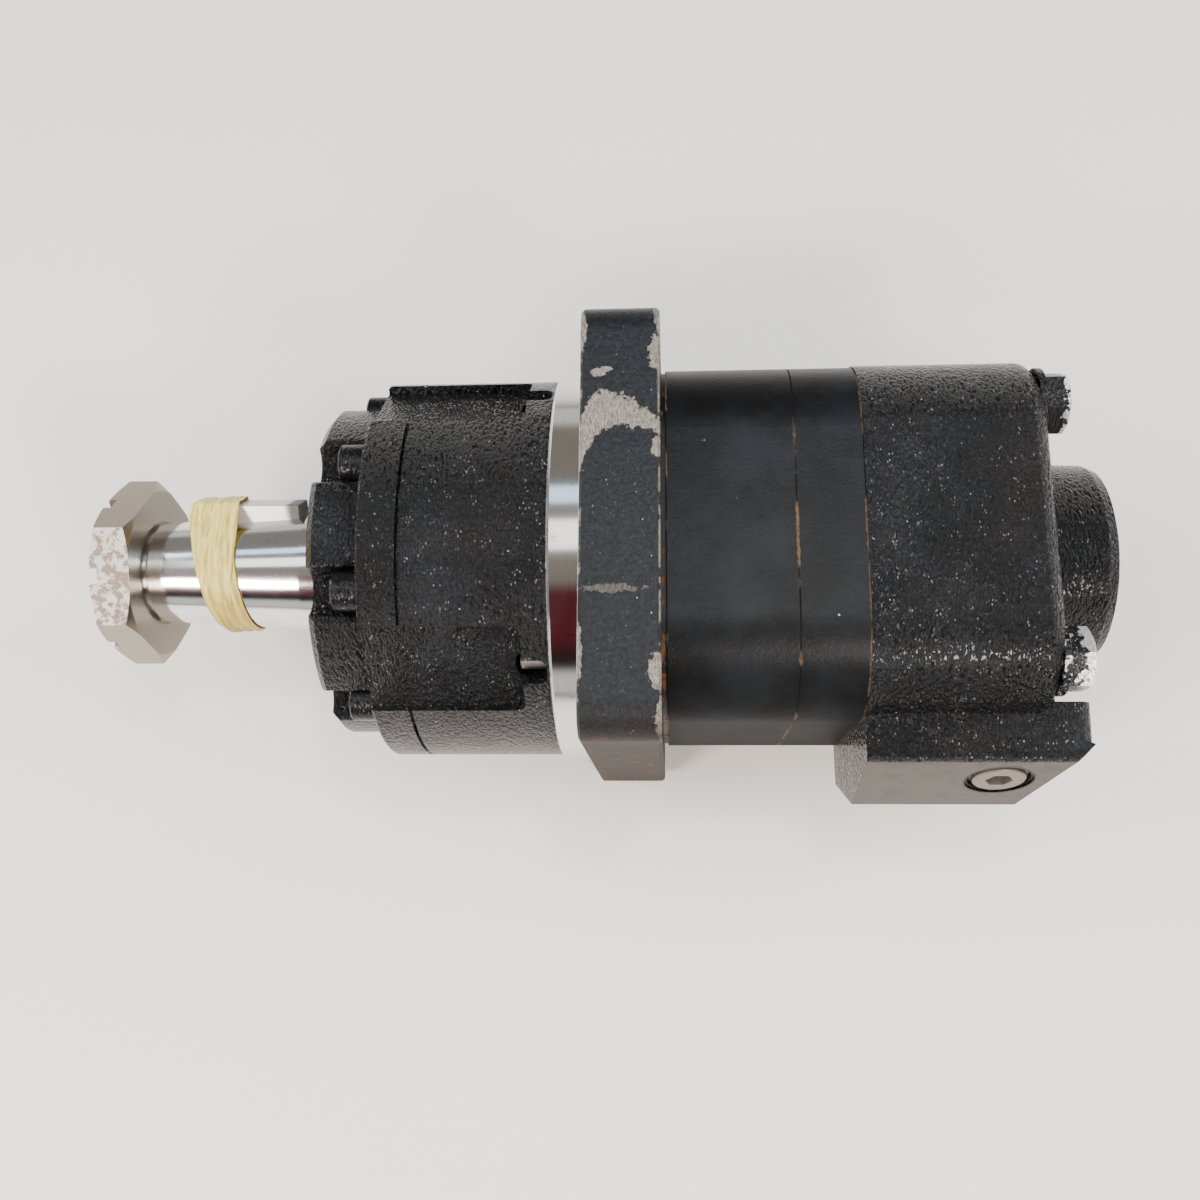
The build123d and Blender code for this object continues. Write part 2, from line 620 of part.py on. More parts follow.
# ---- write every piece ---------------------------------------------------------------
def main():
    save(bearing_housing(), "bearing_housing")
    save(front_retainer(), "front_retainer")
    save(retainer_screws(), "retainer_screws")
    save(output_shaft(), "output_shaft")
    save(shaft_key(), "shaft_key")
    save(shaft_nut(), "shaft_nut")
    save(key_tape(), "key_tape")
    for end, spec in (("front", (X_CUP_F[0], 1, SEAT_R, FRONT_CUP_R)),
                      ("rear", (X_CUP_R[1], -1, SEAT_R, REAR_CUP_R))):
        cup, cone, rollers, cage = bearing(*spec)
        save(cup, f"{end}_bearing_cup")
        save(cone, f"{end}_bearing_cone")
        save(rollers, f"{end}_bearing_rollers")
        save(cage, f"{end}_bearing_cage")
    save(shaft_seal(), "shaft_seal")
    save(exclusion_seal(), "exclusion_seal")
    save(backup_washer(), "backup_washer")
    save(seal_ring(X_SEAM + 2.7, 44.0, 0.95), "retainer_o_ring")
    save(wear_plate(), "wear_plate")
    save(geroler_ring(), "geroler_ring")
    for i in range(LOBES + 1):
        save(roller(i), f"roller_{i + 1}")
    save(rotor(), "rotor")
    save(drive_link(), "drive_link")
    save(drive_spacer(), "drive_spacer")
    save(valve_drive(), "valve_drive")
    save(valve_plate(), "valve_plate")
    save(disc_valve(), "disc_valve")
    save(balance_ring(), "balance_ring")
    save(balance_springs(), "balance_springs")
    save(balance_pins(), "balance_pins")
    save(valve_housing(), "valve_housing")
    save(rear_bolts(), "rear_bolts")
    save(bolt_washers(), "bolt_washers")
    save(pocket_pins(), "pocket_pins")
    save(port_plug(), "port_plug")
    for name, x in (("housing_o_ring", X_WEAR - 0.95), ("front_ring_o_ring", X_RING + 0.95),
                    ("rear_ring_o_ring", X_VPLATE - 0.95),
                    ("valve_o_ring", X_VALVE + 0.95)):
        save(seal_ring(x, 52.0, 0.93), name)


main()
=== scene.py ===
import math
import bpy
from mathutils import Matrix, Vector, noise as lattice


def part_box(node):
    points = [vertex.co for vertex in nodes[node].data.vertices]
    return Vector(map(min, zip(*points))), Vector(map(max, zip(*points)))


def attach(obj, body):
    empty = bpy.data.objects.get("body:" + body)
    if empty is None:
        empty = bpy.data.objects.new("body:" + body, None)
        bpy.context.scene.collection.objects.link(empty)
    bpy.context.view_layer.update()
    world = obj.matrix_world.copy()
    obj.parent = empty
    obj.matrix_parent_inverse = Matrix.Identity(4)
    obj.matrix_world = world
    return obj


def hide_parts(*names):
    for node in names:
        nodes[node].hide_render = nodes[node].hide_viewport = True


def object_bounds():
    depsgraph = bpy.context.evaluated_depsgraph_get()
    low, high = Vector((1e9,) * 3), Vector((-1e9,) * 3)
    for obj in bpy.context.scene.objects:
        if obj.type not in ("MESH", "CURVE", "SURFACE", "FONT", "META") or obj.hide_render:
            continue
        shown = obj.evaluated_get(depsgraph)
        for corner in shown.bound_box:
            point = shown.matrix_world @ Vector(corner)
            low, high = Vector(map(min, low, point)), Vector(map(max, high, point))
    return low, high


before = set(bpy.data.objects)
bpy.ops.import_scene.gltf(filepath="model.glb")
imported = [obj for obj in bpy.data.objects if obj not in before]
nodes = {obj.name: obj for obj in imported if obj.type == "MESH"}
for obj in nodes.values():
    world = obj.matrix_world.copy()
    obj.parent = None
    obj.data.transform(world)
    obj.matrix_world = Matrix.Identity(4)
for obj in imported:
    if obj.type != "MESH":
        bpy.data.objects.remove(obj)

cad_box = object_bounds()

# ---- Bearing housing ------------------------------------------------------------------
# One grey-iron casting: round bearing housing, turned pilot and square mounting flange.
# Sprayed with thick gloss black, which has run into the as-cast lumps and has been
# knocked off the flange; the pilot is left as bare turned metal.

BLACK = (0.0034, 0.0036, 0.0042, 1)
WARM_BLACK = (0.012, 0.0085, 0.007, 1)
DUSTY_BLACK = (0.0075, 0.0090, 0.0112, 1)
PEAK_HIGHLIGHT_BLACK = (0.0115, 0.0130, 0.0155, 1)
GLINT_GREY = (0.15, 0.148, 0.15, 1)
GLINT = (0.42, 0.43, 0.45, 1)
THIN_BLACK = (0.003, 0.0036, 0.0046, 1)
THIN_BLUE = (0.016, 0.019, 0.0235, 1)
NICK_GREY = (0.30, 0.29, 0.28, 1)
IRON_SHADE = (0.085, 0.077, 0.066, 1)
IRON = (0.30, 0.275, 0.235, 1)
RUST = (0.26, 0.085, 0.018, 1)
RUST_SHADE = (0.011, 0.0065, 0.0045, 1)
TURNED_SHADE = (0.58, 0.56, 0.535, 1)
TURNED = (0.76, 0.74, 0.715, 1)
PILOT_STAIN = (0.27, 0.21, 0.16, 1)
PAINT_SHINE = 0.21
METAL_SHINE = 0.5

FLANGE_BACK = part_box("bearing_housing")[1].x
FLANGE_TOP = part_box("bearing_housing")[1].z
PILOT_LENGTH = 0.0106
CASTING_RADIUS = 0.0687


def finish(name, metal=0.0, rough=0.4, colour=BLACK):
    """A new material with its shader's own sockets set; returns its tree and shader."""
    material = bpy.data.materials.new(name)
    material.use_nodes = True
    shader = material.node_tree.nodes["Principled BSDF"]
    shader.inputs["Metallic"].default_value = metal
    shader.inputs["Roughness"].default_value = rough
    shader.inputs["Base Color"].default_value = colour
    shine = PAINT_SHINE if metal == 0 else METAL_SHINE
    shader.inputs["Specular IOR Level"].default_value = shine
    return material, material.node_tree, shader


def add(tree, kind, inputs=(), **settings):
    """One shader node; inputs maps socket names or numbers to values or sockets."""
    made = tree.nodes.new("ShaderNode" + kind)
    for key, value in settings.items():
        setattr(made, key, value)
    for key, value in dict(inputs).items():
        if isinstance(value, bpy.types.NodeSocket):
            tree.links.new(value, made.inputs[key])
        else:
            made.inputs[key].default_value = value
    return made


def calc(tree, operation, *values):
    made = add(tree, "Math", dict(enumerate(values)), operation=operation)
    return made.outputs[0]


def times(tree, a, b):
    return calc(tree, "MULTIPLY", a, b)


def plus(tree, a, b):
    return calc(tree, "ADD", a, b)


def minus(tree, a, b):
    return calc(tree, "SUBTRACT", a, b)


def larger(tree, a, b):
    return calc(tree, "MAXIMUM", a, b)


def absolute(tree, a):
    return calc(tree, "ABSOLUTE", a)


def place(tree):
    """Position on the part, in metres in the row frame."""
    return add(tree, "TexCoord").outputs["Object"]


def axes(tree, vector):
    split = add(tree, "SeparateXYZ", {0: vector})
    return split.outputs[0], split.outputs[1], split.outputs[2]


def hypotenuse(tree, a, b):
    return calc(tree, "SQRT", plus(tree, calc(tree, "POWER", a, 2.0),
                                   calc(tree, "POWER", b, 2.0)))


def stretched(tree, vector, scale):
    return add(tree, "Mapping", {"Vector": vector, "Scale": scale}).outputs[0]


def noise(tree, vector, scale, detail=3.0, rough=0.5, twist=0.0):
    return add(tree, "TexNoise", {"Vector": vector, "Scale": scale, "Detail": detail,
                                  "Roughness": rough, "Distortion": twist}).outputs[0]


def cells(tree, vector, scale):
    """Distance to the nearest of the points scattered through the part."""
    return add(tree, "TexVoronoi", {"Vector": vector, "Scale": scale}).outputs["Distance"]


def step(tree, value, low, high):
    """0 below low, 1 above high, smooth between; low may be the larger."""
    made = add(tree, "MapRange", {"Value": value, "From Min": low, "From Max": high},
               interpolation_type="SMOOTHSTEP")
    return made.outputs[0]


def between(tree, share, low, high):
    return add(tree, "MapRange", {"Value": share, "To Min": low, "To Max": high}).outputs[0]


def mix(tree, share, a, b):
    """Colour a where share is 0 and b where it is 1."""
    return add(tree, "Mix", {0: share, 6: a, 7: b}, data_type="RGBA").outputs[2]


def blend_value(tree, share, a, b):
    return add(tree, "Mix", {0: share, 2: a, 3: b}, data_type="FLOAT").outputs[0]


def blend_normal(tree, share, a, b):
    return add(tree, "Mix", {0: share, 4: a, 5: b}, data_type="VECTOR").outputs[1]


def bump(tree, height, distance, under=None):
    inputs = {"Height": height, "Distance": distance, "Strength": 1.0}
    if under is not None:
        inputs["Normal"] = under
    return add(tree, "Bump", inputs).outputs[0]


def link(tree, shader, **sockets):
    """Joins computed values to the shader's sockets of the same names."""
    for socket, value in sockets.items():
        tree.links.new(value, shader.inputs[socket.replace("_", " ")])


def dress(name, material):
    """Gives a CAD node its finish."""
    mesh = nodes[name].data
    mesh.materials.clear()
    mesh.materials.append(material)


def paint_layer(tree, wrinkle, grain, gloss):
    """Colour, roughness and normal of gloss black over metal. wrinkle is the height of
    the as-cast skin under the paint and grain that of the fine spray texture, in metres."""
    where = place(tree)
    skin = noise(tree, stretched(tree, where, (1.3, 0.75, 0.75)), 820.0, 2.0, 0.5)
    patchy = between(tree, step(tree, noise(tree, where, 26.0, 2.0), 0.34, 0.58), 0.55, 1.0)
    lumps = times(tree, step(tree, skin, 0.38, 0.68), patchy)
    normal = bump(tree, noise(tree, where, 110.0, 2.0), wrinkle * 0.5)
    normal = bump(tree, lumps, wrinkle, under=normal)
    normal = bump(tree, noise(tree, where, 2400.0, 2.0, 0.6), grain, under=normal)

    dust = step(tree, noise(tree, where, 40.0, 5.0, 0.6), 0.46, 0.72)
    colour = mix(tree, dust, BLACK, DUSTY_BLACK)
    warm = step(tree, noise(tree, where, 24.0, 3.0), 0.45, 0.75)
    colour = mix(tree, times(tree, warm, 0.6), colour, WARM_BLACK)
    # painted highlight: the tops of the lumps are lighter, standing in for the light they catch
    colour = mix(tree, times(tree, lumps, 0.5), colour, PEAK_HIGHLIGHT_BLACK)
    # painted glints: fine pale grains and specks in the colour stand in for sparkles of light
    # on the gloss
    glint_grain = cells(tree, stretched(tree, where, (1.3, 0.7, 0.7)), 820.0)
    glint_grain = times(tree, step(tree, glint_grain, 0.30, 0.14),
                 step(tree, noise(tree, where, 250.0, 2.0), 0.53, 0.64))
    colour = mix(tree, glint_grain, colour, GLINT_GREY)
    speck = times(tree, step(tree, cells(tree, where, 330.0), 0.095, 0.05),
                  step(tree, noise(tree, where, 240.0, 0.0), 0.60, 0.66))
    colour = mix(tree, speck, colour, GLINT)
    rough = blend_value(tree, dust, gloss, gloss + 0.06)
    return where, colour, rough, normal


def spot(tree, where, centre, size, ragged=0.35):
    """1 inside a ragged patch round centre, with its own half-length along each axis."""
    moved = add(tree, "VectorMath", {0: where, 1: centre}, operation="SUBTRACT").outputs[0]
    sized = add(tree, "VectorMath", {0: moved, 1: tuple(1 / s for s in size)},
                operation="MULTIPLY").outputs[0]
    length = add(tree, "VectorMath", {0: sized}, operation="LENGTH").outputs["Value"]
    edge = times(tree, minus(tree, noise(tree, where, 480.0, 4.0, 0.7), 0.5), ragged * 4)
    return step(tree, plus(tree, length, edge), 1.05, 0.95)


def chipped_flange(tree, where):
    """1 where the flange has lost its paint."""
    x, y, z = axes(tree, where)

    # a broad sweep over the top edge, from the pilot side to the rear
    ragged = times(tree, minus(tree, noise(tree, where, 420.0, 5.0, 0.75), 0.5), 0.011)
    along = minus(tree, 1.0, calc(tree, "EXPONENT", times(tree, x, -200.0)))
    sweep = plus(tree, 0.019, minus(tree, times(tree, along, 0.022), times(tree, x, 0.55)))
    off = plus(tree, absolute(tree, minus(tree, y, sweep)), ragged)
    width = minus(tree, 0.0086, times(tree, x, 0.24))
    bare = step(tree, minus(tree, off, width), 0.0003, -0.0003)
    bare = times(tree, bare, step(tree, z, FLANGE_TOP - 0.004, FLANGE_TOP - 0.001))
    bare = times(tree, bare, step(tree, x, -0.0002, 0.0003))

    # knocks on the rear edge, the front edge and the flat itself
    for centre, size in (((FLANGE_BACK, 0.052, FLANGE_TOP), (0.0036, 0.0065, 0.006)),
                         ((FLANGE_BACK, 0.067, FLANGE_TOP - 0.004), (0.0022, 0.010, 0.006)),
                         ((0.0060, 0.0452, FLANGE_TOP), (0.0026, 0.0015, 0.003)),
                         ((0.0084, 0.0463, FLANGE_TOP), (0.0021, 0.0011, 0.003)),
                         ((FLANGE_BACK, 0.0195, FLANGE_TOP), (0.0030, 0.0034, 0.003)),
                         ((FLANGE_BACK - 0.001, -0.0525, FLANGE_TOP), (0.0030, 0.0058, 0.004)),
                         ((FLANGE_BACK, -0.066, FLANGE_TOP - 0.004), (0.0022, 0.006, 0.006)),
                         ((0.0, 0.060, FLANGE_TOP - 0.001), (0.0022, 0.008, 0.004)),
                         ((0.0, -0.048, FLANGE_TOP), (0.0016, 0.010, 0.003)),
                         ((FLANGE_BACK, -0.020, -FLANGE_TOP), (0.004, 0.018, 0.004)),
                         ((0.004, 0.030, -FLANGE_TOP), (0.006, 0.012, 0.003))):
        bare = larger(tree, bare, spot(tree, where, centre, size))
    scuff = spot(tree, where, (0.0107, -0.0267, FLANGE_TOP), (0.0082, 0.0013, 0.003), 0.8)
    bare = larger(tree, bare, times(tree, scuff, 0.3))

    # paint rubbed off the flange's rear and front rims
    outward = larger(tree, absolute(tree, y), absolute(tree, z))
    rim = step(tree, outward, FLANGE_TOP - 0.0012, FLANGE_TOP - 0.0004)
    rear = times(tree, rim, step(tree, x, FLANGE_BACK - 0.0010, FLANGE_BACK - 0.0004))
    front = times(tree, rim, step(tree, x, 0.0010, 0.0004))
    worn = step(tree, noise(tree, where, 190.0, 4.0, 0.7), 0.43, 0.50)
    worn_less = step(tree, noise(tree, where, 170.0, 4.0, 0.7), 0.53, 0.58)
    rims = larger(tree, times(tree, rear, worn), times(tree, front, worn_less))
    return larger(tree, bare, rims)


def bare_pilot(tree, where):
    """1 on the turned pilot, between the round casting and the flange's face."""
    x, y, z = axes(tree, where)
    ring = times(tree, step(tree, hypotenuse(tree, y, z), CASTING_RADIUS,
                            CASTING_RADIUS + 0.0002), step(tree, x, 0.0003, -0.0002))
    return times(tree, ring, step(tree, x, -PILOT_LENGTH, -PILOT_LENGTH + 0.0003))


def housing_finish():
    material, tree, shader = finish("housing black and bare pilot")
    where, colour, rough, normal = paint_layer(tree, 0.00095, 0.00002, 0.13)
    x, y, z = axes(tree, where)

    # flange paint is thinner and duller than on the round casting
    on_flange = step(tree, x, -0.0005, 0.0005)
    blue = mix(tree, step(tree, noise(tree, where, 620.0, 5.0, 0.8), 0.35, 0.70),
               THIN_BLACK, THIN_BLUE)
    colour = mix(tree, times(tree, on_flange, 0.8), colour, blue)
    nick = step(tree, cells(tree, stretched(tree, where, (1.0, 0.6, 1.0)), 520.0), 0.13, 0.07)
    nick = times(tree, nick, step(tree, noise(tree, where, 210.0, 2.0), 0.56, 0.62))
    colour = mix(tree, times(tree, nick, on_flange), colour, NICK_GREY)
    rough = blend_value(tree, on_flange, rough, 0.36)
    satin = bump(tree, noise(tree, where, 180.0, 2.0), 0.00018)
    satin = bump(tree, noise(tree, where, 800.0, 4.0, 0.7), 0.00024, under=satin)
    normal = blend_normal(tree, on_flange, normal, satin)

    # grey iron shows where the paint is gone
    bare = chipped_flange(tree, where)
    mottled = noise(tree, stretched(tree, where, (1.6, 0.6, 1.0)), 800.0, 5.0, 0.8)
    iron = mix(tree, step(tree, mottled, 0.34, 0.66), IRON_SHADE, IRON)
    colour = mix(tree, bare, colour, iron)
    rough = blend_value(tree, bare, rough, 0.62)

    # rust has started where water sat under the flange's lower edge
    drop = plus(tree, y, times(tree, z, 0.4))
    under = times(tree, step(tree, drop, -0.030, -0.055), on_flange)
    colour = mix(tree, times(tree, under, 0.8), colour, RUST_SHADE)
    rust = times(tree, step(tree, noise(tree, where, 260.0, 5.0, 0.7), 0.58, 0.64),
                 step(tree, drop, -0.040, -0.062))
    rust = times(tree, rust, on_flange)
    colour = mix(tree, times(tree, rust, 0.8), colour, RUST)
    rough = blend_value(tree, under, rough, 0.62)
    rough = blend_value(tree, rust, rough, 0.85)

    # turned pilot: bare bright metal with fine rings
    pilot = bare_pilot(tree, where)
    rings = noise(tree, stretched(tree, where, (1.0, 0.02, 0.02)), 5200.0, 2.0, 0.7)
    steel = mix(tree, rings, TURNED_SHADE, TURNED)
    stain = step(tree, noise(tree, where, 140.0, 5.0, 0.7), 0.60, 0.70)
    steel = mix(tree, times(tree, stain, 0.5), steel, PILOT_STAIN)
    normal = blend_normal(tree, pilot, normal, bump(tree, rings, 0.000004))
    link(tree, shader, Base_Color=mix(tree, pilot, colour, steel),
         Roughness=blend_value(tree, pilot, rough, 0.13),
         Metallic=larger(tree, pilot, times(tree, bare, 0.35)),
         Normal=bump(tree, minus(tree, 1.0, bare), 0.00025, under=normal))
    return material


dress("bearing_housing", housing_finish())


# ---- Pocket pins ----------------------------------------------------------------------
# Short steel pins, dark from hardening, pressed in where pockets are cast in the outside
# of the bearing housing beside the pilot.

def ground_steel(name, light, dark, rough=0.16, ring=5000.0, stain=0.25):
    """Bare steel with the fine rings of the wheel or tool, and a little brown stain."""
    material, tree, shader = finish(name, metal=1.0)
    where = place(tree)
    rings = noise(tree, stretched(tree, where, (1.0, 0.015, 0.015)), ring, 3.0, 0.7)
    smear = noise(tree, where, 95.0, 5.0, 0.65)
    colour = mix(tree, rings, dark, light)
    colour = mix(tree, times(tree, step(tree, smear, 0.52, 0.75), stain), colour,
                 (0.24, 0.20, 0.17, 1))
    link(tree, shader, Base_Color=colour,
         Roughness=between(tree, smear, rough * 0.8, rough * 1.6),
         Normal=bump(tree, rings, 0.000004))
    return material


HARDENED = ground_steel("case-hardened drive steel", (0.33, 0.31, 0.30, 1),
                        (0.22, 0.21, 0.21, 1), 0.34, 1800.0, 0.35)
dress("pocket_pins", HARDENED)


# ---- Front retainer -------------------------------------------------------------------
# Cast iron cover with an eight-lobed nose that holds the shaft seal. The roughest and
# glossiest casting on the motor, sprayed with the rest and held by cap screws.

def cast_black(name, wrinkle, gloss):
    material, tree, shader = finish(name)
    where, colour, rough, normal = paint_layer(tree, wrinkle, 0.00003, gloss)
    link(tree, shader, Base_Color=colour, Roughness=rough, Normal=normal)
    return material


dress("front_retainer", cast_black("retainer black", 0.00110, 0.11))
dress("retainer_screws", cast_black("cap screw black", 0.00010, 0.22))


# ---- Geroler ring and valve plate -----------------------------------------------------
# Two ground steel sections of the sandwich, painted after assembly. Their sides are
# smooth, so the black lies flat and satin. The joints are fine dark lines that rust has
# begun to creep out of.

RING_BLACK = (0.0030, 0.0030, 0.0034, 1)
RING_BLUE = (0.0070, 0.0088, 0.0112, 1)
RING_STREAK = (0.014, 0.014, 0.0148, 1)
RING_FLECK = (0.40, 0.39, 0.38, 1)
JOINT_LINE = (0.0008, 0.0008, 0.0008, 1)
JOINT_RUST = (0.075, 0.036, 0.014, 1)
JOINT_DUST = (0.15, 0.105, 0.065, 1)


def flat_black(name, joints):
    """Satin black on ground steel; joints are the places along X where it meets the next
    piece."""
    material, tree, shader = finish(name)
    where = place(tree)
    x, y = axes(tree, where)[:2]
    streak = noise(tree, stretched(tree, where, (0.35, 1.0, 1.0)), 420.0, 5.0, 0.7)
    cloud = noise(tree, where, 34.0, 4.0, 0.6)
    colour = mix(tree, step(tree, cloud, 0.36, 0.66), RING_BLACK, RING_BLUE)
    colour = mix(tree, step(tree, streak, 0.60, 0.78), colour, RING_STREAK)
    fleck = times(tree, step(tree, cells(tree, where, 210.0), 0.09, 0.04),
                  step(tree, noise(tree, where, 260.0, 0.0), 0.68, 0.72))
    colour = mix(tree, fleck, colour, RING_FLECK)
    rough = between(tree, streak, 0.30, 0.44)
    ragged = times(tree, noise(tree, where, 520.0, 5.0, 0.75), 0.0016)
    for joint in joints:
        gap = absolute(tree, minus(tree, x, joint))
        line = step(tree, gap, 0.00034, 0.00014)
        colour = mix(tree, line, colour, JOINT_LINE)
        rough = blend_value(tree, line, rough, 0.9)
        near = step(tree, minus(tree, gap, ragged), -0.0002, -0.0006)
        near = times(tree, near, step(tree, noise(tree, where, 60.0, 3.0), 0.46, 0.56))
        tint = mix(tree, noise(tree, where, 300.0, 3.0), JOINT_RUST, JOINT_DUST)
        colour = mix(tree, times(tree, near, 0.8), colour, tint)

    # the near side is dulled by handling
    dull = step(tree, y, -0.042, -0.060)
    normal = bump(tree, noise(tree, where, 150.0, 3.0), 0.00010)
    link(tree, shader, Base_Color=colour, Roughness=blend_value(tree, dull, rough, 0.55),
         Specular_IOR_Level=blend_value(tree, dull, 0.15, 0.05),
         Normal=bump(tree, noise(tree, where, 1000.0, 4.0, 0.7), 0.00011, under=normal))
    return material


for name in ("geroler_ring", "valve_plate"):
    low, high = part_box(name)
    dress(name, flat_black(name.replace("_", " ") + " black", (low.x, high.x)))


# ---- Wear plate -----------------------------------------------------------------------
# Thin hardened plate clamped between flange and geroler ring. Only its dark edge shows,
# with rust where the paint never reached.

def plate_edge():
    material, tree, shader = finish("wear plate edge", metal=0.6)
    where = place(tree)
    y = axes(tree, where)[1]
    low = times(tree, step(tree, y, 0.02, -0.05), 0.12)
    patch = step(tree, plus(tree, noise(tree, where, 240.0, 5.0, 0.7), low), 0.60, 0.72)
    link(tree, shader, Base_Color=mix(tree, patch, (0.010, 0.009, 0.008, 1),
                                      (0.15, 0.065, 0.025, 1)),
         Roughness=blend_value(tree, patch, 0.45, 0.85),
         Normal=bump(tree, noise(tree, where, 900.0, 4.0), 0.00008))
    return material


dress("wear_plate", plate_edge())


# ---- Valve housing --------------------------------------------------------------------
# Rear casting with the round end boss and the port block. Same thick gloss black over
# rough iron. The two port facets were milled after painting and show dull bare iron,
# with painted shade in a dark ring round each port, for the gap round the plug.

FACET_TILT = math.radians(15.5)
FACET_EDGE = -0.073
PORT_X = 0.1366
PORT_Z = 0.0833 * math.sin(FACET_TILT)
PORT_RING = 0.0121
MILLED_SHADE = (0.028, 0.0235, 0.020, 1)
MILLED = (0.085, 0.073, 0.063, 1)
GRIME = (0.030, 0.024, 0.020, 1)
PLUG_GAP_SHADE = (0.006, 0.005, 0.0045, 1)


def valve_housing_finish():
    material, tree, shader = finish("valve housing black and milled facets")
    where, colour, rough, normal = paint_layer(tree, 0.00100, 0.00002, 0.12)
    x, y, z = axes(tree, where)
    out, up = axes(tree, add(tree, "NewGeometry").outputs["True Normal"])[1:]
    lean = plus(tree, times(tree, out, -math.cos(FACET_TILT)),
                times(tree, absolute(tree, up), math.sin(FACET_TILT)))
    facet = times(tree, step(tree, lean, 0.992, 0.998),
                  step(tree, y, FACET_EDGE + 0.003, FACET_EDGE))
    milled = noise(tree, stretched(tree, where, (0.15, 1.0, 1.0)), 900.0, 4.0, 0.7)
    grime = step(tree, noise(tree, where, 120.0, 4.0), 0.50, 0.68)
    bare = mix(tree, times(tree, grime, 0.6), mix(tree, milled, MILLED_SHADE, MILLED), GRIME)
    colour = mix(tree, facet, colour, bare)
    # painted shade: a dark disc round each port, seen as a ring in the gap round the plug
    reach = hypotenuse(tree, minus(tree, x, PORT_X), minus(tree, absolute(tree, z), PORT_Z))
    plug_gap_shade = times(tree, step(tree, reach, PORT_RING, PORT_RING - 0.0008),
                  step(tree, y, -0.060, -0.066))
    link(tree, shader, Base_Color=mix(tree, plug_gap_shade, colour, PLUG_GAP_SHADE),
         Roughness=blend_value(tree, facet, rough, 0.42),
         Normal=blend_normal(tree, facet, normal, bump(tree, milled, 0.00003)))
    return material


dress("valve_housing", valve_housing_finish())


# ---- Rear bolts -----------------------------------------------------------------------
# Four long hex bolts on washers that pull the whole stack together. Painted with the
# motor, then chipped silver on the corners by the spanner.

CHIPPED_END = 0.006
CHIPPED_SILVER = (0.58, 0.57, 0.56, 1)


def bolt_finish():
    material, tree, shader = finish("bolt black, chipped")
    where, colour, rough, normal = paint_layer(tree, 0.00016, 0.00002, 0.26)
    x, y, z = axes(tree, where)
    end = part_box("rear_bolts")[1].x
    chip = plus(tree, times(tree, noise(tree, where, 330.0, 4.0, 0.7), 0.9),
                times(tree, step(tree, x, end - CHIPPED_END, end), 0.22))
    near_bolt = step(tree, minus(tree, z, y), 0.070, 0.085)
    chip = step(tree, plus(tree, chip, times(tree, near_bolt, 0.16)), 0.66, 0.70)
    link(tree, shader, Base_Color=mix(tree, chip, colour, CHIPPED_SILVER),
         Roughness=blend_value(tree, chip, rough, 0.42),
         Metallic=times(tree, chip, 0.8), Normal=normal)
    return material


chipped_black = bolt_finish()
dress("rear_bolts", chipped_black)
dress("bolt_washers", chipped_black)


# ---- Port plug ------------------------------------------------------------------------
# Zinc-plated shipping plug with a hexagon socket, screwed into the near port. The zinc
# has gone grey and dull.

def plated():
    material, tree, shader = finish("dulled zinc", metal=0.5, rough=0.45)
    tarnish = noise(tree, place(tree), 220.0, 5.0, 0.7)
    link(tree, shader, Base_Color=mix(tree, tarnish, (0.095, 0.081, 0.069, 1),
                                      (0.23, 0.20, 0.175, 1)),
         Roughness=between(tree, tarnish, 0.3, 0.6), Normal=bump(tree, tarnish, 0.00004))
    return material


dress("port_plug", plated())


# ---- Output shaft ---------------------------------------------------------------------
# Hardened alloy steel, ground and polished on the taper. The inner spline and seats are
# never seen but share the same bar.

dress("output_shaft", ground_steel("polished shaft", (0.80, 0.80, 0.82, 1),
                                   (0.70, 0.70, 0.72, 1), 0.11))


# ---- Shaft nut ------------------------------------------------------------------------
# Slotted hexagon nut turned from bar. Plain steel, so brown rust has pitted one flat,
# which is painted lighter as a painted highlight, and the faces keep their turning marks.

NUT_SHADE = (0.25, 0.215, 0.175, 1)
NUT_STEEL = (0.34, 0.295, 0.24, 1)
UP_FLAT_HIGHLIGHT = (0.62, 0.585, 0.55, 1)
PIT_BROWN = (0.13, 0.065, 0.038, 1)
PIT_TAN = (0.34, 0.22, 0.15, 1)


def nut_finish():
    material, tree, shader = finish("plain nut steel", metal=1.0)
    where = place(tree)
    y, z = axes(tree, where)[1:]
    radius = add(tree, "CombineXYZ", {0: hypotenuse(tree, y, z)}).outputs[0]
    rings = noise(tree, radius, 2600.0, 3.0, 0.7)
    colour = mix(tree, rings, NUT_SHADE, NUT_STEEL)

    # the flat that faces up is painted lighter, a painted highlight from the lights above, and
    # is rustiest towards its near end
    up = axes(tree, add(tree, "NewGeometry").outputs["True Normal"])[2]
    flat = step(tree, up, 0.86, 0.92)
    colour = mix(tree, times(tree, flat, 0.65), colour, UP_FLAT_HIGHLIGHT)
    pits = noise(tree, where, 330.0, 5.0, 0.72)
    near = step(tree, minus(tree, times(tree, z, 0.25), y), -0.014, 0.020)
    rust = step(tree, plus(tree, pits, times(tree, near, 0.10)), 0.57, 0.68)
    few = times(tree, step(tree, pits, 0.66, 0.72), 0.5)
    rust = larger(tree, times(tree, rust, flat), few)
    tint = mix(tree, noise(tree, where, 700.0, 3.0), PIT_BROWN, PIT_TAN)
    colour = mix(tree, times(tree, rust, 0.85), colour, tint)

    dull = larger(tree, times(tree, rust, 0.9), times(tree, flat, 0.45))
    rough = blend_value(tree, flat, 0.30, 0.5)
    normal = bump(tree, rings, 0.000012)
    link(tree, shader, Base_Color=colour, Roughness=blend_value(tree, rust, rough, 0.8),
         Metallic=minus(tree, 1.0, dull),
         Normal=bump(tree, minus(tree, 1.0, rust), 0.00018, under=normal))
    return material


dress("shaft_nut", nut_finish())
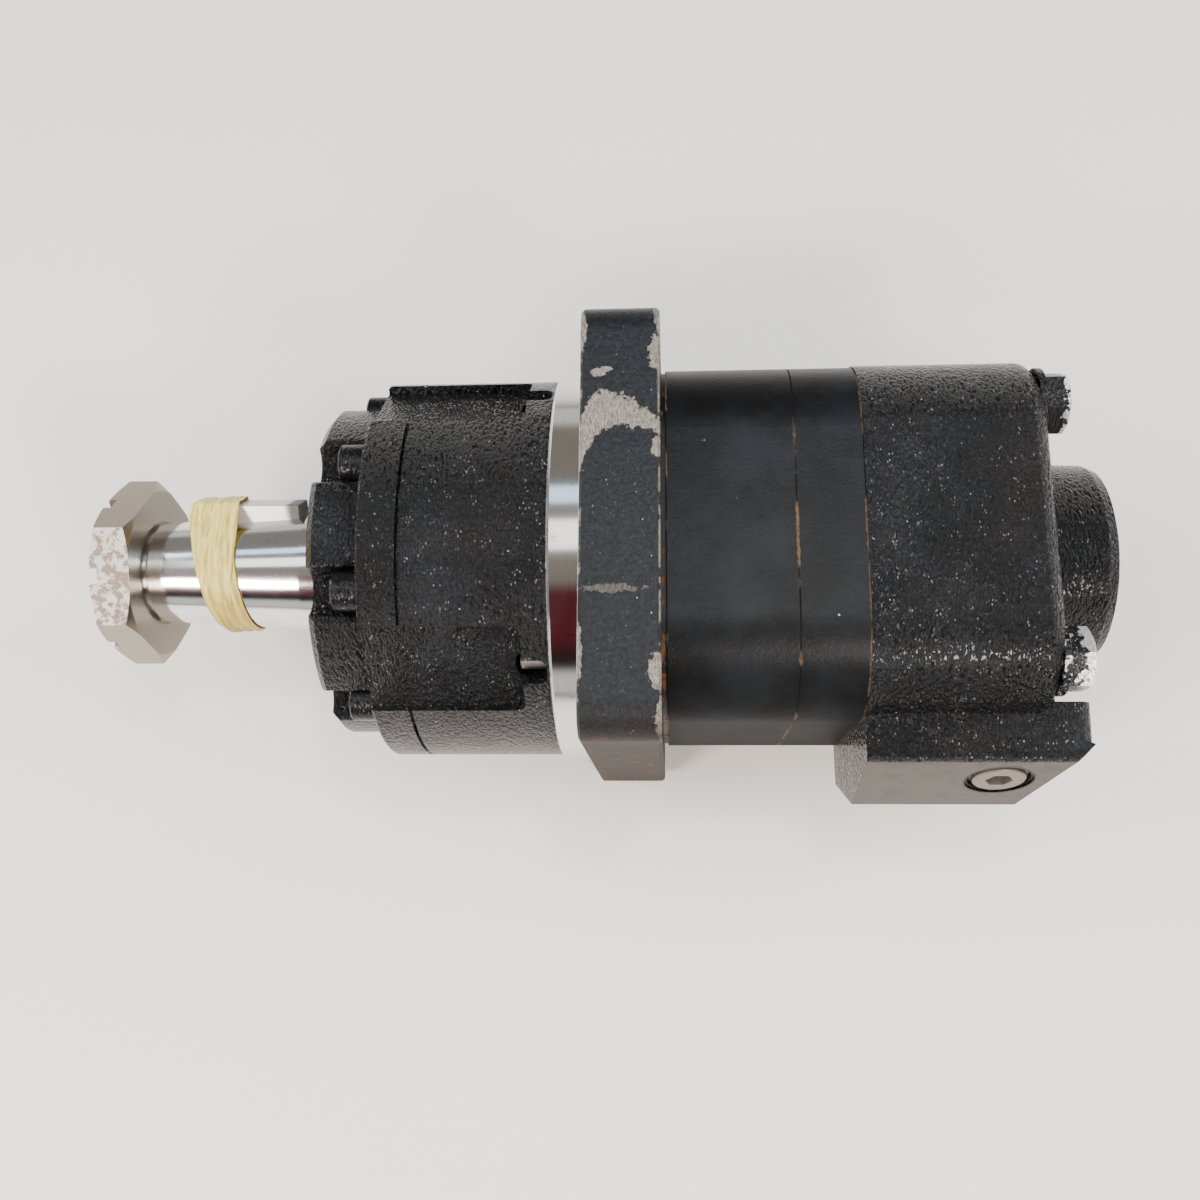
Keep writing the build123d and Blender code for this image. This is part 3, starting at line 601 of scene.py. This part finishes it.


# ---- Shaft key ------------------------------------------------------------------------
# Drawn bright steel bar let into the taper, darker near its end towards the housing and in a
# few patches.

def key_finish():
    material, tree, shader = finish("bright key steel", metal=0.55)
    where = place(tree)
    x = axes(tree, where)[0]
    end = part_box("shaft_key")[1].x
    drawn = noise(tree, stretched(tree, where, (0.06, 1.0, 1.0)), 1700.0, 4.0, 0.7)
    # darker near the end towards the housing, with a few dark patches elsewhere
    edge = plus(tree, x, times(tree, noise(tree, where, 300.0, 3.0), 0.003))
    darkened = larger(tree, step(tree, edge, end - 0.0045, end - 0.0015),
                 step(tree, noise(tree, where, 240.0, 4.0), 0.66, 0.74))
    colour = mix(tree, drawn, (0.50, 0.485, 0.46, 1), (0.74, 0.72, 0.69, 1))
    link(tree, shader, Base_Color=mix(tree, times(tree, darkened, 0.85), colour,
                                      (0.035, 0.028, 0.024, 1)),
         Roughness=blend_value(tree, darkened, 0.40, 0.6), Normal=bump(tree, drawn, 0.000015))
    return material


dress("shaft_key", key_finish())


# ---- Running gear inside the housings -------------------------------------------------
# Bearings, geroler set, splined drives and valve parts: ground or lapped steel and iron
# wetted with oil. Each keeps the marks of how it was cut.

BEARING = ground_steel("bearing race steel", (0.72, 0.72, 0.74, 1), (0.62, 0.62, 0.64, 1),
                       0.14, 7000.0, 0.1)
CAGE = ground_steel("pressed cage steel", (0.48, 0.46, 0.42, 1), (0.36, 0.34, 0.32, 1), 0.32,
                    1500.0, 0.3)
GEROLER = ground_steel("geroler steel", (0.70, 0.69, 0.68, 1), (0.58, 0.57, 0.56, 1), 0.18,
                       3800.0, 0.15)
LAPPED = ground_steel("lapped valve iron", (0.44, 0.43, 0.42, 1), (0.34, 0.34, 0.34, 1), 0.24,
                      2600.0, 0.2)
SPRING = ground_steel("spring and pin steel", (0.46, 0.46, 0.48, 1), (0.30, 0.30, 0.33, 1),
                      0.28, 4200.0, 0.1)

for end in ("front", "rear"):
    for part in ("cup", "cone", "rollers"):
        dress(f"{end}_bearing_{part}", BEARING)
    dress(f"{end}_bearing_cage", CAGE)
dress("backup_washer", CAGE)

dress("rotor", GEROLER)
for name in nodes:
    if name.startswith("roller_"):
        dress(name, GEROLER)

for name in ("drive_link", "valve_drive", "drive_spacer"):
    dress(name, HARDENED)
for name in ("disc_valve", "balance_ring"):
    dress(name, LAPPED)
for name in ("balance_springs", "balance_pins"):
    dress(name, SPRING)


# ---- Seals ----------------------------------------------------------------------------
# Moulded black nitrile: shaft lip seal, dust seal in the nose and the face O-rings. Soft
# sheen with a little dust.

def nitrile():
    material, tree, shader = finish("black nitrile", rough=0.5)
    where = place(tree)
    dust = noise(tree, where, 180.0, 5.0, 0.65)
    link(tree, shader, Base_Color=mix(tree, step(tree, dust, 0.45, 0.75),
                                      (0.012, 0.012, 0.012, 1), (0.05, 0.047, 0.043, 1)),
         Roughness=between(tree, dust, 0.38, 0.66),
         Normal=bump(tree, noise(tree, where, 1500.0, 2.0), 0.00002))
    return material


RUBBER = nitrile()
for name in nodes:
    if "seal" in name or "o_ring" in name:
        dress(name, RUBBER)


# ---- Tape round the taper -------------------------------------------------------------
# Thin, slightly sticky yellowed film wound round the taper and key to hold the key in
# place. It lies in pulled folds and crosses itself in two plies.

TAPE_PLY = 0.00012
TAPE_TURNS = 2.1
TAPE_START = math.radians(-215)
TAPE_LEAN = math.radians(14.5)
TAPE_LOOSE = 0.00032
TURN_RISE = 0.00030

SHAFT_RADIUS = 0.022225
TAPER_START = -0.105
KEY_ANGLE = math.radians(60.5)
KEY_TOP = 0.0270
KEY_HALF = 0.0059

FILM_SHADE = (0.60, 0.46, 0.10, 1)
FILM = (0.87, 0.75, 0.24, 1)
FILM_AMBER = (0.42, 0.28, 0.07, 1)


def taper_radius(x):
    """Radius of the 1 in 8 taper at x."""
    return SHAFT_RADIUS - max(0.0, TAPER_START - x) / 16


def tape_edges(angle, turn):
    """Front and rear edge of the strip where it has been wound to this angle. It leans
    towards the nut on the far side, and the last turn crosses the first."""
    a = angle + TAPE_LEAN
    up = math.sin(a)
    under = (-0.1395 - 0.0025 * up, -0.1282 - 0.0026 * up)
    over = (-0.1430 - 0.0047 * up - 0.0012 * up * up,
            -0.1292 + 0.0008 * math.sin(2 * a) - 0.0024 * up ** 2 + 0.0012 * up ** 3)
    share = min(1.0, max(0.0, (turn - 0.85) / 0.3))
    share = share * share * (3 - 2 * share)
    return tuple(u + (o - u) * share for u, o in zip(under, over))


def fold_height(angle, across, turn):
    """How far the pleats, creases and the bunch beside the key stand up."""
    low_side = 0.5 - 0.5 * math.sin(angle + 0.25)
    pleat = 0.5 + 0.5 * math.cos(across * 8.5 + 1.1 * math.sin(angle + turn) + turn * 2)
    pleat = pleat ** 3 * (0.00060 + 0.00080 * low_side)
    bunch = math.exp(-((math.sin((angle - 1.15) / 2) / 0.22) ** 2)) * max(0.0, across)
    crease = abs(lattice.noise(Vector((across * 6, angle * 1.3, turn * 3))))
    return pleat + 0.0009 * crease + 0.0011 * bunch * (0.5 + 0.5 * math.cos(across * 16))


def over_key(angle, x, base, peak):
    """Distance from the axis where the strip lies on the shaft at base, and is pulled
    straight from there up to the key's top at peak."""
    local = (angle - KEY_ANGLE + math.pi) % (2 * math.pi) - math.pi
    flat_half = KEY_HALF / peak
    tangent = math.acos(min(1.0, base / peak))
    lift = base
    if abs(local) < flat_half:
        lift = peak / math.cos(local)
    elif abs(local) < flat_half + tangent:
        lift = base / math.cos(tangent - abs(local) + flat_half)
    past_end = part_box("shaft_key")[0].x - 0.0004 - x
    if past_end > 0:
        fall = min(1.0, past_end / 0.0025)
        lift = base + (lift - base) * (1 - 0.45 * fall)
    return lift


def tape_path(angle, across):
    """Point on the tape: angle is how far round it has been wound, across runs from -1
    to 1 over its width."""
    turn = (angle - TAPE_START) / (2 * math.pi)
    front, rear = tape_edges(angle, turn)
    x = (front + rear) / 2 + across * (rear - front) / 2
    fold = fold_height(angle, across, turn)
    rise = max(0.0, turn) * TURN_RISE
    base = taper_radius(x) + TAPE_LOOSE + rise + fold * (1 - abs(across) ** 6)
    lift = over_key(angle, x, base, KEY_TOP + rise + fold * 0.7)
    return Vector((x, lift * math.sin(angle), lift * math.cos(angle)))


def tape_mesh():
    steps, strips = 420, 40
    span = TAPE_TURNS * 2 * math.pi
    points = [tape_path(TAPE_START + span * i / steps, -1 + 2 * j / strips)
              for i in range(steps + 1) for j in range(strips + 1)]
    row = strips + 1
    faces = [(i * row + j, i * row + j + 1, (i + 1) * row + j + 1, (i + 1) * row + j)
             for i in range(steps) for j in range(strips)]
    mesh = bpy.data.meshes.new("wound_tape")
    mesh.from_pydata(points, [], faces)
    mesh.polygons.foreach_set("use_smooth", [True] * len(faces))
    piece = bpy.data.objects.new("wound_tape", mesh)
    bpy.context.scene.collection.objects.link(piece)
    thick = piece.modifiers.new("ply", "SOLIDIFY")
    thick.thickness = TAPE_PLY
    thick.offset = 1.0
    bpy.context.view_layer.objects.active = piece
    piece.select_set(True)
    bpy.ops.object.modifier_apply(modifier="ply")
    return piece


def tape_finish():
    material, tree, shader = finish("yellowed film", rough=0.42)
    where = place(tree)
    y = axes(tree, where)[1]
    band = noise(tree, stretched(tree, where, (1.0, 0.14, 0.14)), 760.0, 3.0, 0.6, 0.3)
    film = mix(tree, step(tree, band, 0.34, 0.60), FILM_SHADE, FILM)
    film = mix(tree, times(tree, step(tree, y, -0.008, -0.021), 0.5), film, FILM_AMBER)
    link(tree, shader, Base_Color=film, Normal=bump(tree, band, 0.00045))
    shader.inputs["Subsurface Weight"].default_value = 0.15
    shader.inputs["Subsurface Radius"].default_value = (0.002, 0.0018, 0.001)
    shader.inputs["Transmission Weight"].default_value = 0.12
    return material


tape = tape_mesh()
tape.data.materials.append(tape_finish())
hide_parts("key_tape")
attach(tape, "shaft")


# ---- Floor and lights -----------------------------------------------------------------
# Plain pale floor under the flange. Two long soft lights above draw the bright lines
# along the castings, small lamps put glints in the gloss, and a wide wash at each end
# keeps the faces there from going dark.

ORIGIN = (0.0, 0.0, 0.0)


def pale_floor():
    low = cad_box[0].z
    bpy.ops.mesh.primitive_plane_add(size=6.0, location=(0, 0, low - 0.0001))
    floor = bpy.context.active_object
    floor.name = "floor"
    material, tree, shader = finish("pale floor", rough=0.75, colour=(0.84, 0.82, 0.79, 1))
    link(tree, shader, Normal=bump(tree, noise(tree, place(tree), 90.0, 4.0), 0.0002))
    floor.data.materials.append(material)


def soft_light(name, size, power, place_at, aim=ORIGIN, colour=(1, 1, 1)):
    data = bpy.data.lights.new(name, "AREA")
    data.shape = "RECTANGLE"
    data.size, data.size_y = size
    data.energy = power
    data.color = colour
    light = bpy.data.objects.new(name, data)
    light.location = place_at
    light.rotation_mode = "QUATERNION"
    light.rotation_quaternion = (Vector(aim) - Vector(place_at)).to_track_quat("-Z", "Y")
    bpy.context.scene.collection.objects.link(light)


pale_floor()
soft_light("overhead softbox", (1.5, 0.32), 4.0, (0.0, 0.06, 1.10))
soft_light("far window", (1.5, 0.20), 2.2, (0.0, 0.50, 1.02), colour=(0.55, 0.76, 1.0))
soft_light("small lamp", (0.10, 0.07), 3.0, (0.16, 0.16, 1.0), (0.02, 0.0, 0.0))
soft_light("low lamp", (0.30, 0.20), 9.0, (0.40, -0.62, 0.66), (0.05, 0.0, 0.0),
           (1.0, 0.90, 0.80))
soft_light("low shaft lamp", (0.28, 0.18), 8.0, (-0.55, -0.50, 0.60), (-0.05, 0.0, 0.0),
           (1.0, 0.92, 0.84))
soft_light("shaft side wash", (0.9, 0.9), 18.0, (-1.15, 0.15, 0.75))
soft_light("rear side wash", (0.9, 0.9), 18.0, (1.15, 0.15, 0.75))


# ---- Room -----------------------------------------------------------------------------
# What the bright metal mirrors: beige overhead and beyond the far side, dark red and
# then shade on the near side where someone stands, and pale ground all round.

world = bpy.data.worlds.new("studio")
bpy.context.scene.world = world
world.use_nodes = True
room = world.node_tree
north, above = axes(room, add(room, "TexCoord").outputs["Generated"])[1:]
lean = calc(room, "ARCTAN2", north, above)
walls = mix(room, step(room, lean, -0.36, -0.52), (0.27, 0.25, 0.22, 1),
            (0.105, 0.009, 0.018, 1))
walls = mix(room, step(room, lean, -0.95, -1.25), walls, (0.010, 0.008, 0.008, 1))
walls = mix(room, step(room, above, 0.30, 0.16), walls, (0.88, 0.86, 0.83, 1))
room.links.new(walls, room.nodes["Background"].inputs["Color"])
room.nodes["Background"].inputs["Strength"].default_value = 1.0


# ---- Camera ---------------------------------------------------------------------------
# Looks almost straight down on the motor from slightly on its port side, with the shaft
# to the left.

camera = bpy.data.objects.new("camera", bpy.data.cameras.new("camera"))
bpy.context.scene.collection.objects.link(camera)
bpy.context.scene.camera = camera
camera.data.sensor_width = 36.0
camera.data.lens = 35.4
camera.location = (0.0290, -0.1197, 0.4222)
camera.rotation_mode = "QUATERNION"
gaze = Vector((0.0024, -0.0113, -0.0029)) - camera.location
side = Vector((0.99814, 0.00735, -0.06059))
up = side.cross(gaze).normalized()
side = gaze.cross(up).normalized()
camera.rotation_quaternion = Matrix((side, up, -gaze.normalized())).transposed().to_quaternion()

bpy.context.view_layer.update()
